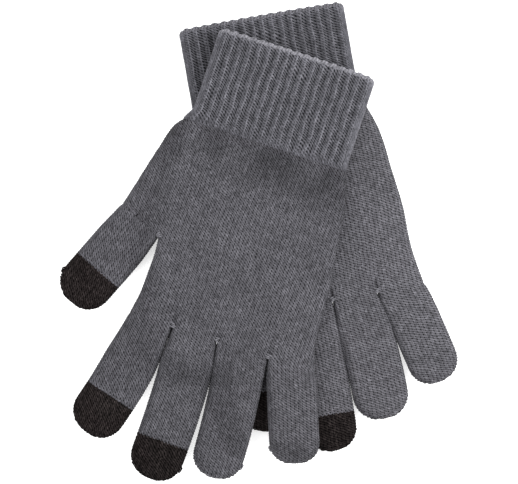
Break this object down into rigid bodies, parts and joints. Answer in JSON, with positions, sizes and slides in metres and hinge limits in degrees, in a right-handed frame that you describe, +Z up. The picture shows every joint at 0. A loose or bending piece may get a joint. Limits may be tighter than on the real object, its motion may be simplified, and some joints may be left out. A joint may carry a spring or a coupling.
{
  "type": "touchscreen gloves",
  "caption": "Pair of grey knitted gloves with black conductive thumb, index and middle tips, one lying slantwise on the other, with folding fingers and a hollow for the hand.",
  "frame": {"origin": "middle of the pair's footprint, on the table", "axes": "+X to the right of the laid pair, +Y towards the cuffs, +Z up from the table"},
  "size_m": [0.1872, 0.2242, 0.0148],
  "materials": {
    "grey_knit": "matte acrylic jersey knit",
    "grey_rib": "matte acrylic rib knit",
    "black_conductive_knit": "matte jersey knit with conductive fibre",
    "stitch_yarn": "matte acrylic yarn",
    "elastic_thread": "covered elastic thread"
  },
  "bodies": {
    "lower_glove": {"lower_hand": "grey_knit", "lower_cuff": "grey_rib", "lower_cuff_edge": "grey_knit", "lower_cuff_elastic": "elastic_thread", "lower_thumb": "grey_knit", "lower_thumb_tip": "black_conductive_knit", "lower_index": "grey_knit", "lower_index_tip": "black_conductive_knit", "lower_middle": "grey_knit", "lower_middle_tip": "black_conductive_knit", "lower_crotch_stitches": "stitch_yarn"},
    "lower_ring": {"lower_ring": "grey_knit"},
    "lower_little": {"lower_little": "grey_knit"},
    "upper_hand": {"upper_hand": "grey_knit", "upper_crotch_stitches": "stitch_yarn"},
    "upper_cuff": {"upper_cuff": "grey_rib", "upper_cuff_edge": "grey_knit", "upper_cuff_elastic": "elastic_thread"},
    "upper_thumb": {"upper_thumb": "grey_knit", "upper_thumb_tip": "black_conductive_knit"},
    "upper_index": {"upper_index": "grey_knit", "upper_index_tip": "black_conductive_knit"},
    "upper_middle": {"upper_middle": "grey_knit", "upper_middle_tip": "black_conductive_knit"},
    "upper_ring": {"upper_ring": "grey_knit"},
    "upper_little": {"upper_little": "grey_knit"}
  },
  "joints": [
    {"name": "upper_glove_lift", "type": "slide", "parent": "lower_glove", "child": "upper_hand", "axis": [0, 0, 1], "range_m": [0, 0.12]},
    {"name": "upper_thumb_curl", "type": "hinge", "parent": "upper_hand", "child": "upper_thumb", "pos_m": [-0.0557, 0.01027, 0.00997], "axis": [-0.6811, 0.6555, -0.3261], "range_deg": [0, 85]},
    {"name": "upper_index_curl", "type": "hinge", "parent": "upper_hand", "child": "upper_index", "pos_m": [-0.05073, -0.03625, 0.0144], "axis": [-0.942, 0.3097, -0.1289], "range_deg": [0, 85]},
    {"name": "upper_middle_curl", "type": "hinge", "parent": "upper_hand", "child": "upper_middle", "pos_m": [-0.03007, -0.04305, 0.01485], "axis": [-0.95, 0.3123, 0], "range_deg": [0, 85]},
    {"name": "upper_ring_curl", "type": "hinge", "parent": "upper_hand", "child": "upper_ring", "pos_m": [-0.00768, -0.05041, 0.01485], "axis": [-0.95, 0.3123, 0], "range_deg": [0, 85]},
    {"name": "upper_little_curl", "type": "hinge", "parent": "upper_hand", "child": "upper_little", "pos_m": [0.01565, -0.05808, 0.01485], "axis": [-0.95, 0.3123, 0], "range_deg": [0, 85]},
    {"name": "lower_ring_curl", "type": "hinge", "parent": "lower_glove", "child": "lower_ring", "pos_m": [0.04539, -0.02586, 0.00725], "axis": [-0.981, -0.1942, 0], "range_deg": [0, 85]},
    {"name": "lower_little_curl", "type": "hinge", "parent": "lower_glove", "child": "lower_little", "pos_m": [0.06701, -0.02159, 0.00725], "axis": [-0.981, -0.1942, 0], "range_deg": [0, 85]},
    {"name": "upper_cuff_fold", "type": "hinge", "parent": "upper_hand", "child": "upper_cuff", "pos_m": [0.00388, 0.04516, 0.01485], "axis": [0.95, -0.3123, 0], "range_deg": [0, 85]}
  ]
}
